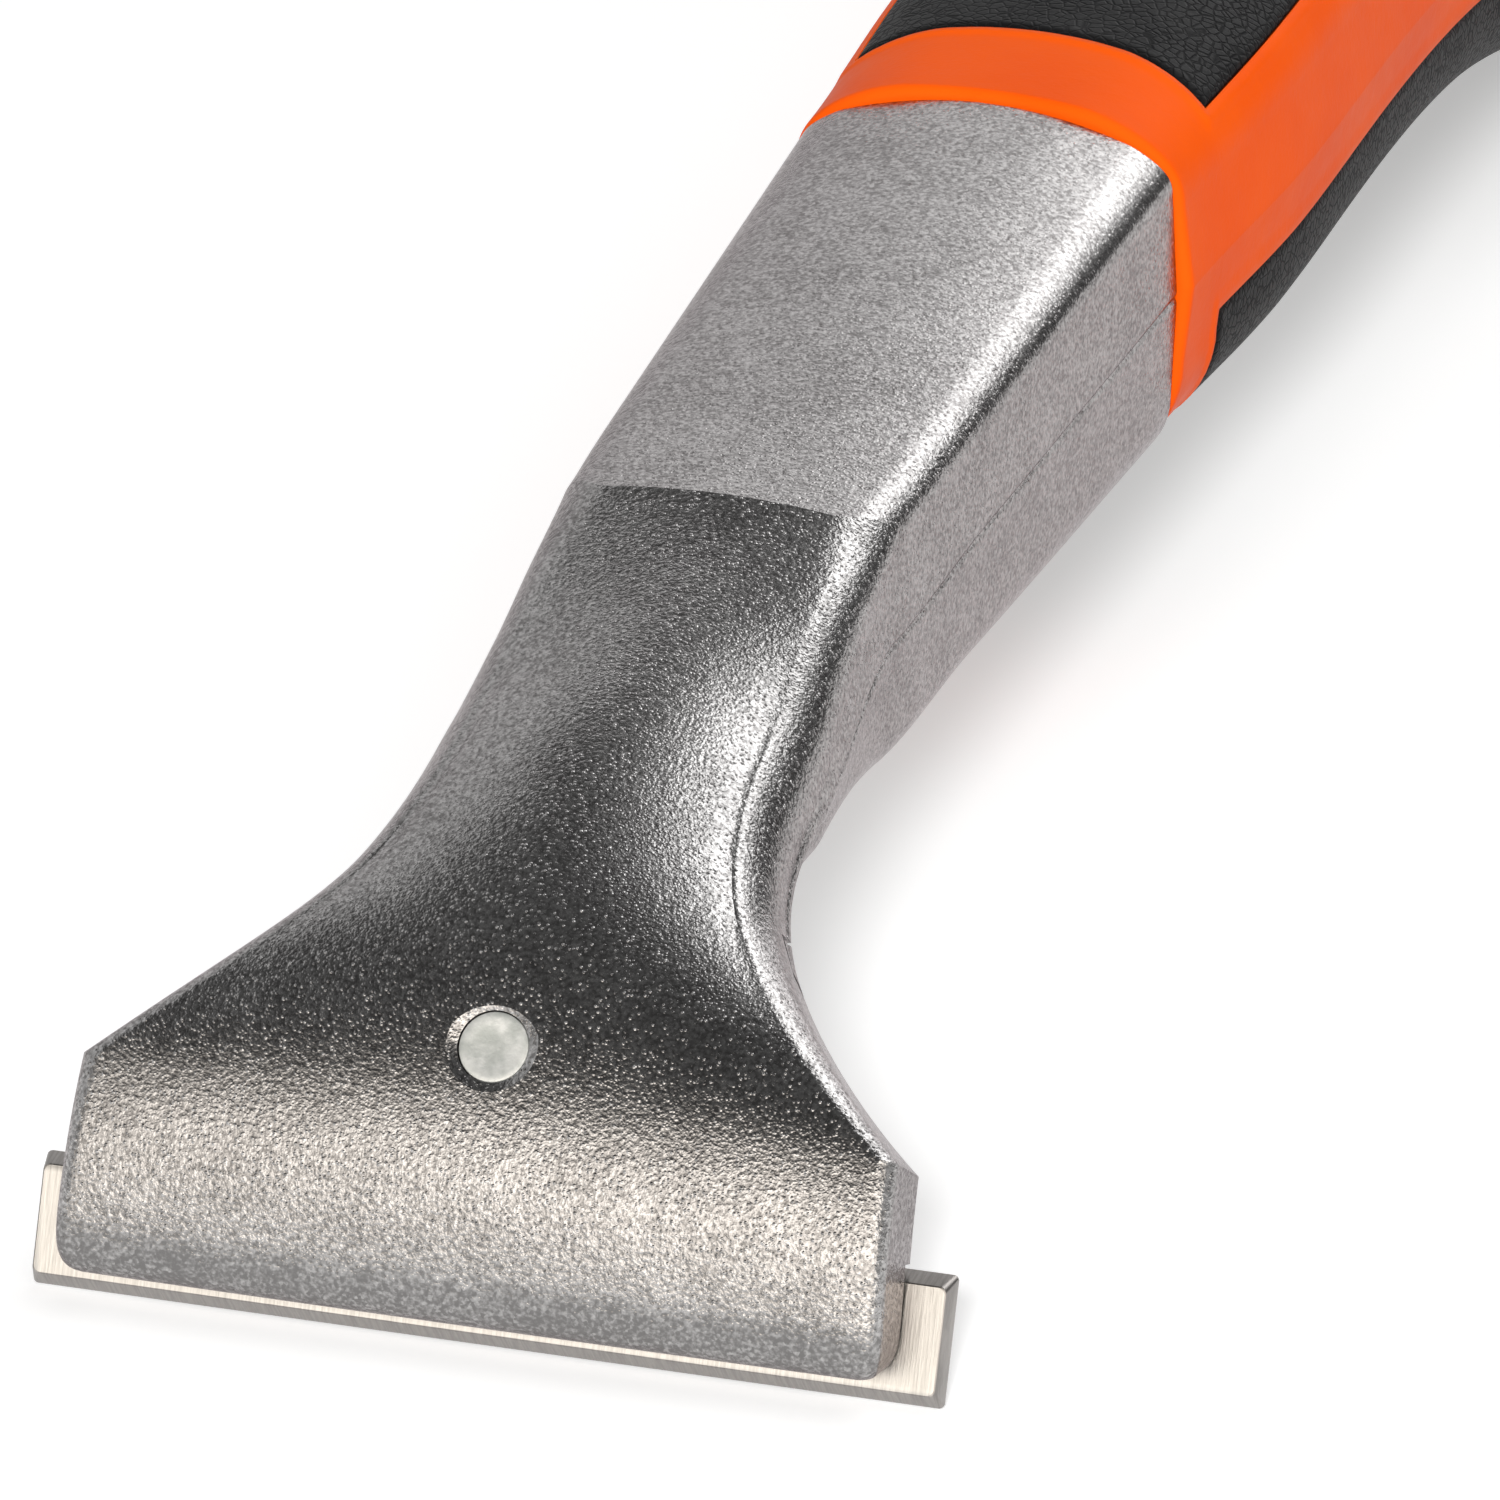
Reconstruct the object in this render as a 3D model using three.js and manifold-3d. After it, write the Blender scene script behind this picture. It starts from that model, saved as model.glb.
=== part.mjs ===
// Carbide paint scraper: a cast head that clamps a reversible blade, on a two-material handle.
// Millimetres. X runs along the blade, Y from the blade back to the butt of the handle, Z up from the table.
// The tool lies as it does on a table, on the blade's lower edge and on the butt of the handle.
import * as THREE from "three";
import { mergeVertices } from "three/addons/utils/BufferGeometryUtils.js";
import Module from "manifold-3d";

const wasm = await Module();
wasm.setup();

// Gap left between pieces that touch, and how far a cutting shape runs past what it cuts
const clearance = 0.3;
const reach = 40;

// Blade: a carbide strip with a cutting edge along both long sides
const bladeLength = 50;
const bladeWidth = 7;
const bladeThickness = 1.4;
const bladeBevel = 0.6;
const bladeLand = 0.2;
const bladeAngle = 69;

// Nose of the head, in the blade's own directions: up the blade, and out of its front face
const noseOverlap = 1.2;
const noseCorner = 4.4;
const noseDeep = 6.22;
const noseHalf = 22.6;
const noseCornerRound = 2.3;
const noseLean = 9;
const shoulderUp = 13;
const shoulderHalf = 22.2;

// Roll of the nose under its corner: how far it goes on straight, the height of its underside, and the step back
// to where that underside runs level
const noseRollReach = 1.9;
const noseFloor = 2.35;
const noseLipBack = 1.8;
const noseRollShare = 0.7;

// Top of the head between the crest and the shoulders
const crestBack = 39;
const crestHeight = 32.4;
const crestHalf = 9.3;
const crestBend = 11;
const crestReach = 25;
const noseReach = 17;
const flareLength = 28;
const flarePower = 2.6;
const plateSwell = 0.2;
const plateCrown = 0.4;
const plateRound = 6.5;
const crestEdge = 2;
const castEdge = 1;
const tipEdge = 0.5;

// Neck between the crest and the handle
const neckLength = 47;
const neckBottom = 16;
const neckRise = 3.8;
const collarHalf = 10.6;
const collarCrown = 2.4;
const neckRound = 2.6;
const bellyRound = 4.2;
const partingDraft = 0.3;

// Tang inside the handle, rooted in the neck
const tangLength = 60;
const tangHalf = 6;
const tangHeight = 10;
const tangRound = 2;
const tangDrop = 1.3;
const tangRoot = 4;
const tangEndGap = 0.8;

// Clamp: jaw, screw and washer
const jawEnd = 23;
const jawDeep = 5.8;
const jawGap = 0.9;
const jawLip = 1;
const jawToe = 3.6;
const jawDraw = 2.6;
const jawReach = 12;
const jawEdge = 2.6;
const heelPad = 3;
const plateThickness = 8.2;
const screwUp = 16;
const screwLean = 15;
const screwDiameter = 4;
const screwEndDiameter = 3.8;
const screwEndChamfer = 0.15;
const screwRecess = 0.7;
const screwHeadDiameter = 7;
const screwHeadHeight = 4;
const screwHeadChamfer = 0.4;
const socketWidth = 3;
const socketDepth = 2;
const washerDiameter = 9;
const washerThickness = 0.8;
const jawSeatDepth = 5;
const jawSeatGap = 0.6;

// Handle: half width and height at each place, which is given from the collar, or for the butt from its end
const handleLength = 152;
const collarLip = 0.5;
const guardBack = 20;
const guardHalf = 11.9;
const guardTall = 21.8;
const waistBack = 58;
const waistHalf = 11;
const waistTall = 20;
const palmBack = 103;
const palmHalf = 14;
const palmTall = 25.5;
const buttFront = 9;
const buttHalf = 12.5;
const buttTall = 29;
const droopBack = 27;
const endRound = 7;
const endFace = 6;

// Soft grips let into the handle
const gripDepth = 2.2;
const gripStart = 7.35;
const gripStop = 31;
const gripHorn = 10.4;
const gripHollow = 1.6;
const gripTail = 6;
const stripStart = 6;
const lowLineShare = 0.14;
const topLineShare = 0.376;

// Hole for a hook, with a flat rim on both sides
const hangHole = 8;
const hangRim = 15;
const hangBack = 17;
const hangRimDepth = 1.5;

const radians = THREE.MathUtils.degToRad;
const mix = THREE.MathUtils.lerp;
const ease = THREE.MathUtils.smoothstep;
const clamp = THREE.MathUtils.clamp;

// A point of the side view, from its distance up the blade and its height off the blade's back face.
const bladeUp = new THREE.Vector2(Math.cos(radians(bladeAngle)), Math.sin(radians(bladeAngle)));
const bladeOut = new THREE.Vector2(-bladeUp.y, bladeUp.x);

function onBlade(up, out) {
  return bladeUp.clone().multiplyScalar(up).addScaledVector(bladeOut, out);
}

// A closed surface as a solid.
function solid(geometry) {
  const bare = new THREE.BufferGeometry();
  bare.setAttribute("position", geometry.getAttribute("position"));
  bare.setIndex(geometry.getIndex());
  const merged = mergeVertices(bare, 1e-4);
  return new wasm.Manifold(
    new wasm.Mesh({
      numProp: 3,
      vertProperties: new Float32Array(merged.getAttribute("position").array),
      triVerts: new Uint32Array(merged.getIndex().array),
    }),
  );
}

// One cross-section: the right half from the middle of the top to the middle of the bottom, and its mirror.
// top and bottom are points of the side view. The top is crowned, its corners go on from the crown, topRound wide
// and topDrop deep, the sides swell by the draft at the parting line, and the bottom is lowHalf wide with round
// corners.
function ring({ top, bottom, half, lowHalf, crown, topRound, topDrop, lowRound, draft }) {
  const tall = top.distanceTo(bottom);
  const flat = half - topRound;
  const low = lowHalf - lowRound;
  const cornerSteps = 5;
  const flatSteps = 4;
  const right = [];
  for (let i = 0; i < flatSteps; i += 1) {
    const x = (flat * i) / flatSteps;
    right.push([x, crown * (x / half) ** 2]);
  }
  const cornerDepth = crown * (flat / half) ** 2;
  const crownLean = (2 * crown * flat * topRound) / half ** 2;
  for (let i = 0; i <= cornerSteps; i += 1) {
    const a = (Math.PI / 2) * (i / cornerSteps);
    const lean = crownLean * Math.sin(a) * Math.cos(a) ** 2;
    right.push([flat + topRound * Math.sin(a), cornerDepth + topDrop * (1 - Math.cos(a)) + lean]);
  }
  right.push([half + draft, (cornerDepth + topDrop + tall - lowRound) / 2]);
  for (let i = 0; i <= cornerSteps; i += 1) {
    const a = (Math.PI / 2) * (i / cornerSteps);
    right.push([low + lowRound * Math.cos(a), tall - lowRound * (1 - Math.sin(a))]);
  }
  right.push([low / 2, tall]);
  right.push([0, tall]);
  const left = right.slice(1, -1).reverse();
  const outline = right.concat(left.map(([x, depth]) => [-x, depth]));
  return outline.map(([x, depth]) => {
    const p = top.clone().lerp(bottom, depth / tall);
    return new THREE.Vector3(x, p.x, p.y);
  });
}

// A closed skin over a row of rings with the same number of points, ordered from the front to the back.
function loft(rings) {
  const count = rings[0].length;
  const points = rings.flat();
  const index = [];
  for (let i = 0; i + 1 < rings.length; i += 1) {
    for (let j = 0; j < count; j += 1) {
      const a = i * count + j;
      const b = i * count + ((j + 1) % count);
      index.push(a, b, a + count, b, b + count, a + count);
    }
  }
  const ends = [0, rings.length - 1];
  ends.forEach((end, order) => {
    const middle = new THREE.Vector3();
    rings[end].forEach((p) => middle.addScaledVector(p, 1 / count));
    const centre = points.push(middle) - 1;
    for (let j = 0; j < count; j += 1) {
      const a = end * count + j;
      const b = end * count + ((j + 1) % count);
      index.push(...(order === 0 ? [centre, b, a] : [centre, a, b]));
    }
  });
  const geometry = new THREE.BufferGeometry().setFromPoints(points);
  geometry.setIndex(index);
  return solid(geometry);
}

// A side-view outline carried straight across the tool.
const acrossTool = new THREE.Matrix4().makeBasis(
  new THREE.Vector3(0, 1, 0),
  new THREE.Vector3(0, 0, 1),
  new THREE.Vector3(1, 0, 0),
);

function prism(outline, half) {
  const shape = new THREE.Shape(outline);
  const geometry = new THREE.ExtrudeGeometry(shape, { depth: 2 * half, bevelEnabled: false });
  geometry.translate(0, 0, -half);
  geometry.applyMatrix4(acrossTool);
  return solid(geometry);
}

// A plan-view outline carried straight up.
function column(outline, low, high) {
  const shape = new THREE.Shape(outline);
  const geometry = new THREE.ExtrudeGeometry(shape, { depth: high - low, bevelEnabled: false });
  geometry.translate(0, 0, low);
  return solid(geometry);
}

// Head: the top line of the side view, from the crest to the corner of the nose
const crest = new THREE.Vector2(crestBack, crestHeight);
const corner = onBlade(noseCorner, noseDeep);
const crestHeading = new THREE.Vector2(-Math.cos(radians(crestBend)), -Math.sin(radians(crestBend)));
const noseHeading = bladeUp.clone().rotateAround(new THREE.Vector2(), radians(noseLean));
const topLine = new THREE.CubicBezierCurve(
  crest,
  crest.clone().addScaledVector(crestHeading, crestReach),
  corner.clone().addScaledVector(noseHeading, noseReach),
  corner,
);

// The bottom line, from below the crest, level at first, to the foot of the jaw
const belly = new THREE.Vector2(crestBack, neckBottom);
const jawFoot = onBlade(noseCorner, -jawDeep);
const bellyShare = 0.72;
const bottomLine = new THREE.CubicBezierCurve(
  belly,
  new THREE.Vector2(mix(crestBack, jawFoot.x, bellyShare), neckBottom),
  jawFoot.clone().addScaledVector(bladeUp, jawReach),
  jawFoot,
);

// Share of the top line at which it comes down to a distance up the blade.
function shareAt(up) {
  let low = 0;
  let high = 1;
  for (let i = 0; i < 40; i += 1) {
    const middle = (low + high) / 2;
    if (topLine.getPoint(middle).dot(bladeUp) > up) low = middle;
    else high = middle;
  }
  return (low + high) / 2;
}

const shoulderShare = shareAt(shoulderUp);
const lineSteps = 400;
const topLengths = topLine.getLengths(lineSteps);
const lengthAt = (share) => topLengths[Math.round(share * lineSteps)];
const shoulderLength = lengthAt(shoulderShare);

// The plate below the crest: sharp at the crest, strongly rounded half way down, flat again at the shoulders,
// where its sides flare out to the width of the nose.
function plateRing(share) {
  const along = lengthAt(share);
  const flare = clamp(1 - (shoulderLength - along) / flareLength, 0, 1) ** flarePower;
  const roundBy = 0.4 * shoulderLength;
  const flattenFrom = 0.55 * shoulderLength;
  const side = crestHalf + plateSwell * Math.min(1, along / roundBy);
  const past = clamp((share - shoulderShare) / (1 - shoulderShare), 0, 1);
  const half = mix(mix(side, shoulderHalf, flare), noseHalf, past);
  const rounded = ease(along, 0, roundBy) * (1 - ease(along, flattenFrom, shoulderLength));
  const edge = mix(crestEdge, castEdge, ease(along, 0, shoulderLength));
  return ring({
    top: topLine.getPoint(share),
    bottom: bottomLine.getPoint(share),
    half,
    lowHalf: half - jawDraw * clamp(1 - (shoulderLength - along) / flareLength, 0, 1),
    crown: plateCrown,
    topRound: mix(edge, plateRound, rounded),
    topDrop: mix(edge, 0.7 * plateRound, rounded),
    lowRound: jawEdge,
    draft: partingDraft * (1 - flare),
  });
}

// The neck behind the crest: it rises to the collar and grows rounder and wider on the way.
function neckRing(back) {
  const share = back / neckLength;
  const half = mix(crestHalf, collarHalf, share);
  return ring({
    top: new THREE.Vector2(crestBack + back, crestHeight + neckRise * share),
    bottom: new THREE.Vector2(crestBack + back, neckBottom),
    half,
    lowHalf: half,
    crown: mix(plateCrown, collarCrown, share),
    topRound: mix(crestEdge, neckRound, share),
    topDrop: mix(crestEdge, neckRound, share),
    lowRound: mix(jawEdge, bellyRound, ease(share, 0, 0.35)),
    draft: partingDraft,
  });
}

// The nose rolls under below its corner to a level lip, which runs back to the blade, inside the blade's own
// thickness at its tip. Its lower corners are rounded off.
const tip = onBlade(noseOverlap, 0.7 * bladeThickness);
const lipFoot = onBlade(noseOverlap, -0.6 * bladeThickness);
const rollEnd = new THREE.Vector2(corner.x + noseLipBack, noseFloor);
const roll = new THREE.CubicBezierCurve(
  corner,
  corner.clone().addScaledVector(noseHeading, -noseRollReach),
  new THREE.Vector2(corner.x - 0.1 * noseLipBack, noseFloor),
  rollEnd,
);

function noseRing(share) {
  const rolled = Math.min(1, share / noseRollShare);
  const onLip = clamp((share - noseRollShare) / (1 - noseRollShare), 0, 1);
  const cornerTurn = clamp((rolled - 0.2) / 0.8, 0, 1);
  return ring({
    top: onLip > 0 ? rollEnd.clone().lerp(tip, onLip) : roll.getPoint(rolled),
    bottom: jawFoot.clone().lerp(lipFoot, share),
    half: noseHalf - noseCornerRound * (1 - Math.sqrt(1 - cornerTurn ** 2)),
    lowHalf: noseHalf - jawDraw,
    crown: mix(plateCrown, 0, share),
    topRound: mix(castEdge, tipEdge, share),
    topDrop: mix(castEdge, tipEdge, share),
    lowRound: mix(jawEdge, tipEdge, share),
    draft: 0,
  });
}

const noseSteps = 12;
const frontSteps = 6;
const plateSteps = 24;
const neckSteps = 8;
const headRings = [];
for (let i = noseSteps; i >= 1; i -= 1) headRings.push(noseRing(i / noseSteps));
for (let i = frontSteps; i >= 1; i -= 1) headRings.push(plateRing(mix(shoulderShare, 1, i / frontSteps)));
for (let i = plateSteps; i >= 0; i -= 1) {
  headRings.push(plateRing(shoulderShare * (1 - (1 - i / plateSteps) ** 1.5)));
}
for (let i = 1; i <= neckSteps; i += 1) headRings.push(neckRing((neckLength * i) / neckSteps));
const headEnvelope = loft(headRings);

// Tang, a plain bar that the handle is moulded over
const collar = crestBack + neckLength;
const collarMiddle = (crestHeight + neckRise + neckBottom) / 2;
const tangMiddle = collarMiddle - tangDrop;

function tangRing(back, gap) {
  return ring({
    top: new THREE.Vector2(back, tangMiddle + tangHeight / 2 + gap),
    bottom: new THREE.Vector2(back, tangMiddle - tangHeight / 2 - gap),
    half: tangHalf + gap,
    lowHalf: tangHalf + gap,
    crown: 0,
    topRound: tangRound,
    topDrop: tangRound,
    lowRound: tangRound,
    draft: 0,
  });
}

const tang = loft([tangRing(collar - tangRoot, 0), tangRing(collar + tangLength, 0)]);

// Screw axis: through the top line where it passes the screw, square to the underside of the plate
const screwFront = topLine.getPoint(shareAt(screwUp));
const screwHeading = bladeOut.clone().rotateAround(new THREE.Vector2(), radians(-screwLean));
const screwSide = new THREE.Vector2(screwHeading.y, -screwHeading.x);

// A point of the side view, from its distance along the screw, forwards of the plate's face, and beside it.
function onScrew(forward, beside) {
  return screwFront.clone().addScaledVector(screwHeading, forward).addScaledVector(screwSide, beside);
}

// A turned piece on the screw's axis, from pairs of radius and distance along the screw.
const screwTurn = new THREE.Matrix4().makeBasis(
  new THREE.Vector3(1, 0, 0),
  new THREE.Vector3(0, screwHeading.x, screwHeading.y),
  new THREE.Vector3(0, -screwHeading.y, screwHeading.x),
);

function turned(profile, segments) {
  const points = profile.map(([radius, forward]) => new THREE.Vector2(radius, forward));
  const geometry = new THREE.LatheGeometry(points, segments);
  geometry.applyMatrix4(screwTurn);
  geometry.translate(0, screwFront.x, screwFront.y);
  return solid(geometry);
}

// A plain rod on the screw's axis.
function rod(radius, from, to, segments) {
  const profile = [
    [0, from],
    [radius, from],
    [radius, to],
    [0, to],
  ];
  return turned(profile, segments);
}

// A point of the plate's underside, or a gap below it, from its distance up the blade.
function undersideAt(up, gap) {
  const start = onScrew(-plateThickness - gap, 0);
  const beside = (up - start.dot(bladeUp)) / screwSide.dot(bladeUp);
  return start.addScaledVector(screwSide, beside);
}

// Space cut out of the head for the blade and the jaw
const seat = bladeThickness + clearance;
const stopUp = bladeWidth + clearance;
const heelTop = undersideAt(jawEnd, 0);
const pocket = prism(
  [
    onBlade(-reach, seat),
    onBlade(stopUp, seat),
    undersideAt(stopUp, 0),
    heelTop,
    heelTop.clone().addScaledVector(screwHeading, -reach),
    onBlade(-reach, -reach),
  ],
  noseHalf + clearance,
);
const boreRadius = screwDiameter / 2 + clearance;
const screwBore = rod(boreRadius, -reach, reach, 32);
const head = headEnvelope.add(tang).subtract(pocket).subtract(screwBore);

// Jaw: the lower part of the head's own envelope, parted along the blade and the plate.
// Its lip bears on the blade and its heel on the plate, and it stays clear of the plate between them.
const jawTop = jawEnd - clearance;
const heelJaw = undersideAt(jawTop, clearance);
const jawSpace = prism(
  [
    onBlade(jawLip, -clearance),
    onBlade(bladeWidth - castEdge, -clearance),
    undersideAt(stopUp + castEdge, jawGap),
    undersideAt(jawTop - heelPad, jawGap),
    undersideAt(jawTop - heelPad, clearance),
    heelJaw,
    heelJaw.clone().addScaledVector(screwHeading, -reach),
    onBlade(-reach, -reach),
    onBlade(jawLip + jawToe, -jawDeep),
  ],
  noseHalf + clearance,
);
const jawSeat = -plateThickness - jawGap - jawSeatDepth;
const jawSpot = rod(washerDiameter / 2 + jawSeatGap, -reach, jawSeat, 40);
const jaw = headEnvelope.intersect(jawSpace).subtract(screwBore).subtract(jawSpot);

// Blade: flat back, two bevels and a narrow land behind each cutting edge
const bladeShape = [
  onBlade(0, bladeLand),
  onBlade(bladeBevel, bladeThickness),
  onBlade(bladeWidth - bladeBevel, bladeThickness),
  onBlade(bladeWidth, bladeLand),
  onBlade(bladeWidth, 0),
  onBlade(0, 0),
];
const blade = prism(bladeShape, bladeLength / 2);

// Washer and screw under the jaw: the screw's end shows in the plate, its head is below the jaw
const washerTop = jawSeat - clearance;
const washerBottom = washerTop - washerThickness;
const washer = rod(washerDiameter / 2, washerBottom, washerTop, 40).subtract(screwBore);
const headTop = washerBottom - clearance;
const headBottom = headTop - screwHeadHeight;
const screwBody = turned(
  [
    [0, headBottom],
    [screwHeadDiameter / 2 - screwHeadChamfer, headBottom],
    [screwHeadDiameter / 2, headBottom + screwHeadChamfer],
    [screwHeadDiameter / 2, headTop],
    [screwDiameter / 2, headTop],
    [screwDiameter / 2, -screwRecess - screwEndChamfer],
    [screwEndDiameter / 2, -screwRecess],
    [0, -screwRecess],
  ],
  32,
);
const socketRadius = socketWidth / Math.sqrt(3);
const socket = rod(socketRadius, headBottom - clearance, headBottom + socketDepth, 6);
const screw = screwBody.subtract(socket);

// Handle: rows of place, half width and height, eased from one to the next
const collarTall = crestHeight + neckRise - neckBottom + 2 * collarLip;
const buttMiddle = buttTall / 2;
const buttBack = handleLength - buttFront;
const handleFront = collar + clearance;
const handleRows = [
  [0, collarHalf + collarLip, collarTall],
  [guardBack, guardHalf, guardTall],
  [waistBack, waistHalf, waistTall],
  [palmBack, palmHalf, palmTall],
  [buttBack, buttHalf, buttTall],
  [handleLength, buttHalf, buttTall],
];

// Half width, height and middle of the handle at a place; the middle droops until the butt is on the table.
function handleAt(back) {
  let row = 0;
  while (row + 2 < handleRows.length && back > handleRows[row + 1][0]) row += 1;
  const [from, halfFrom, tallFrom] = handleRows[row];
  const [to, halfTo, tallTo] = handleRows[row + 1];
  const blend = ease(back, from, to);
  return {
    half: mix(halfFrom, halfTo, blend),
    tall: mix(tallFrom, tallTo, blend),
    middle: mix(collarMiddle, buttMiddle, ease(back, droopBack, buttBack)),
  };
}

// One ring of the handle, let in by a depth all round and then drawn towards its middle.
function handleRing(back, depth, shrink) {
  const { half, tall, middle } = handleAt(back);
  const across = (half - depth) * shrink;
  const high = (tall / 2 - depth) * shrink;
  const round = 0.62 * Math.min(across, high);
  return ring({
    top: new THREE.Vector2(handleFront + back, middle + high),
    bottom: new THREE.Vector2(handleFront + back, middle - high),
    half: across,
    lowHalf: across,
    crown: 0.14 * across,
    topRound: round,
    topDrop: 0.8 * round,
    lowRound: round,
    draft: 0.05 * across,
  });
}

function handleSkin(depth) {
  const rings = [];
  const body = handleLength - endRound;
  const bodySteps = 26;
  const endSteps = 5;
  for (let i = 0; i <= bodySteps; i += 1) rings.push(handleRing((body * i) / bodySteps, depth, 1));
  for (let i = 1; i <= endSteps; i += 1) {
    const a = (Math.PI / 2) * (i / endSteps);
    const shrink = mix(endFace / buttHalf, 1, Math.cos(a) ** 0.8);
    rings.push(handleRing(body + (endRound - depth) * Math.sin(a), depth, shrink));
  }
  return loft(rings);
}

const handleOuter = handleSkin(0);
const handleInner = handleSkin(gripDepth);
const gripInner = handleSkin(gripDepth - clearance);

// Plan of the upper grip: a slightly hollow front edge, and a rounded back edge.
// It is wider than the handle, so the line along the sides trims it.
const gripEnd = handleLength - gripStop;
const gripSteps = 24;

function topPlan(gap) {
  const wide = 2 * palmHalf;
  const front = [];
  const back = [];
  for (let i = 0; i <= gripSteps; i += 1) {
    const x = wide * ((2 * i) / gripSteps - 1);
    const bow = 1 - (x / gripHorn) ** 2;
    const slope = (2 * x) / gripHorn ** 2;
    const frontGap = gap * Math.hypot(1, gripHollow * slope);
    const backGap = gap * Math.hypot(1, gripTail * slope);
    front.push(new THREE.Vector2(x, handleFront + Math.max(gripStart + gripHollow * bow + frontGap, -reach)));
    back.push(new THREE.Vector2(x, handleFront + gripEnd + gripTail * bow - backGap));
  }
  return front.concat(back.reverse());
}

// Side view of a grip: the handle on one side of a line that follows its middle at a share of its height.
function sideLine(start, end, share, gap) {
  const line = [];
  for (let i = 0; i <= gripSteps; i += 1) {
    const back = mix(start + gap, end - gap, i / gripSteps);
    const { tall, middle } = handleAt(back);
    line.push(new THREE.Vector2(handleFront + back, middle + share * tall + Math.sign(share) * gap));
  }
  const far = share > 0 ? crestHeight + reach : -reach;
  line.push(new THREE.Vector2(handleFront + end - gap, far));
  line.push(new THREE.Vector2(handleFront + start + gap, far));
  return share > 0 ? line : line.reverse();
}

function topRegion(gap) {
  const side = prism(sideLine(0, handleLength, topLineShare, gap), 2 * palmHalf);
  return side.intersect(column(topPlan(gap), 0, crestHeight + reach));
}

function lowRegion(gap) {
  return prism(sideLine(stripStart, gripEnd, -lowLineShare, gap), 2 * palmHalf);
}

const topGrip = handleOuter.intersect(topRegion(clearance)).subtract(gripInner);
const lowGrip = handleOuter.intersect(lowRegion(clearance)).subtract(gripInner);
const topCut = topRegion(0).subtract(handleInner);
const lowCut = lowRegion(0).subtract(handleInner);

// Socket for the tang, and the hole for a hook
const socketEnd = collar + tangLength + tangEndGap;
const tangSocket = loft([tangRing(collar - tangRoot, clearance), tangRing(socketEnd, clearance)]);
const hangAt = handleLength - hangBack;
const hangForm = handleAt(hangAt);

function crossBar(diameter, from, to) {
  const geometry = new THREE.CylinderGeometry(diameter / 2, diameter / 2, to - from, 40);
  geometry.rotateZ(Math.PI / 2);
  geometry.translate((from + to) / 2, handleFront + hangAt, hangForm.middle);
  return solid(geometry);
}

const rimAt = hangForm.half - hangRimDepth;
const core = handleOuter
  .subtract(topCut)
  .subtract(lowCut)
  .subtract(tangSocket)
  .subtract(crossBar(hangHole, -reach, reach))
  .subtract(crossBar(hangRim, rimAt, reach))
  .subtract(crossBar(hangRim, -reach, -rimAt));

// Pieces, each with its finish
const tool = new THREE.Group();

function piece(name, form, color, roughness, metalness) {
  const made = form.getMesh();
  const geometry = new THREE.BufferGeometry();
  geometry.setAttribute("position", new THREE.BufferAttribute(new Float32Array(made.vertProperties), 3));
  geometry.setIndex(new THREE.BufferAttribute(new Uint32Array(made.triVerts), 1));
  const mesh = new THREE.Mesh(geometry, new THREE.MeshStandardMaterial({ color, roughness, metalness }));
  mesh.name = name;
  tool.add(mesh);
}

piece("head_casting", head, 0xa9a9a6, 0.45, 0.9);
piece("carbide_blade", blade, 0x8f8a82, 0.35, 0.9);
piece("clamp_jaw", jaw, 0x9c9c99, 0.5, 0.9);
piece("clamp_screw", screw, 0xb9bdb6, 0.4, 0.9);
piece("screw_washer", washer, 0xb4b7b0, 0.4, 0.9);
piece("handle_core", core, 0xff5f0a, 0.45, 0);
piece("grip_top", topGrip, 0x28282a, 0.8, 0);
piece("grip_bottom", lowGrip, 0x28282a, 0.8, 0);

// The origin is under the middle of the tool, on the table.
const box = new THREE.Box3().setFromObject(tool);
const boxMiddle = box.getCenter(new THREE.Vector3());
tool.position.set(-boxMiddle.x, -boxMiddle.y, -box.min.z);

const part = new THREE.Group();
part.add(tool);
export default part;
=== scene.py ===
import math

import bpy
import numpy as np
from mathutils import Matrix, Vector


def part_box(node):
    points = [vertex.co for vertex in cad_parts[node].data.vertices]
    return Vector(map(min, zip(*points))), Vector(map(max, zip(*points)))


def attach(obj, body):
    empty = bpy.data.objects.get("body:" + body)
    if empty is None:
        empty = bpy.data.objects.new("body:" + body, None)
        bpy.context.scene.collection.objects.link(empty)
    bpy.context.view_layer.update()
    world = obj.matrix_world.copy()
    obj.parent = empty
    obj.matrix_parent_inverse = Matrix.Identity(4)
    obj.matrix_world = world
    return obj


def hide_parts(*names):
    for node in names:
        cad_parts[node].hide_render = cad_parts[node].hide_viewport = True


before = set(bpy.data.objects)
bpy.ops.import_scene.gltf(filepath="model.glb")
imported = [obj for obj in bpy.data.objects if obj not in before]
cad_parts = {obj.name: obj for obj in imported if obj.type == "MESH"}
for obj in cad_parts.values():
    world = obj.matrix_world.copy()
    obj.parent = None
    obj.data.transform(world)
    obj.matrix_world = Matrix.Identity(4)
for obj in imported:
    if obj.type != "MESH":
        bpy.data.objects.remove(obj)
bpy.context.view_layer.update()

# Head: one aluminium die casting, shot-blasted all over. Its plate falls from a sharp crest to the nose that
# backs the blade, its neck runs back to the collar, and its tang is a bar that the handle is moulded over.
# Shapes are worked out in millimetres in the side view: y back from the cutting edge, z up from the table.
blade_width = 7.0
blade_lean = math.radians(69)
blade_up = np.array([math.cos(blade_lean), math.sin(blade_lean)])
blade_out = np.array([-math.sin(blade_lean), math.cos(blade_lean)])
edge_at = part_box("carbide_blade")[1].y * 1000 - blade_width * blade_up[0]


def mix(first, second, share):
    """Straight mix of two values: the first at share 0, the second at share 1."""
    return first + (second - first) * share


def passed(value, start, end):
    """Share of the way from start to end, held at 0 before it and at 1 after it."""
    return np.clip((value - start) / (end - start), 0, 1)


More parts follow.
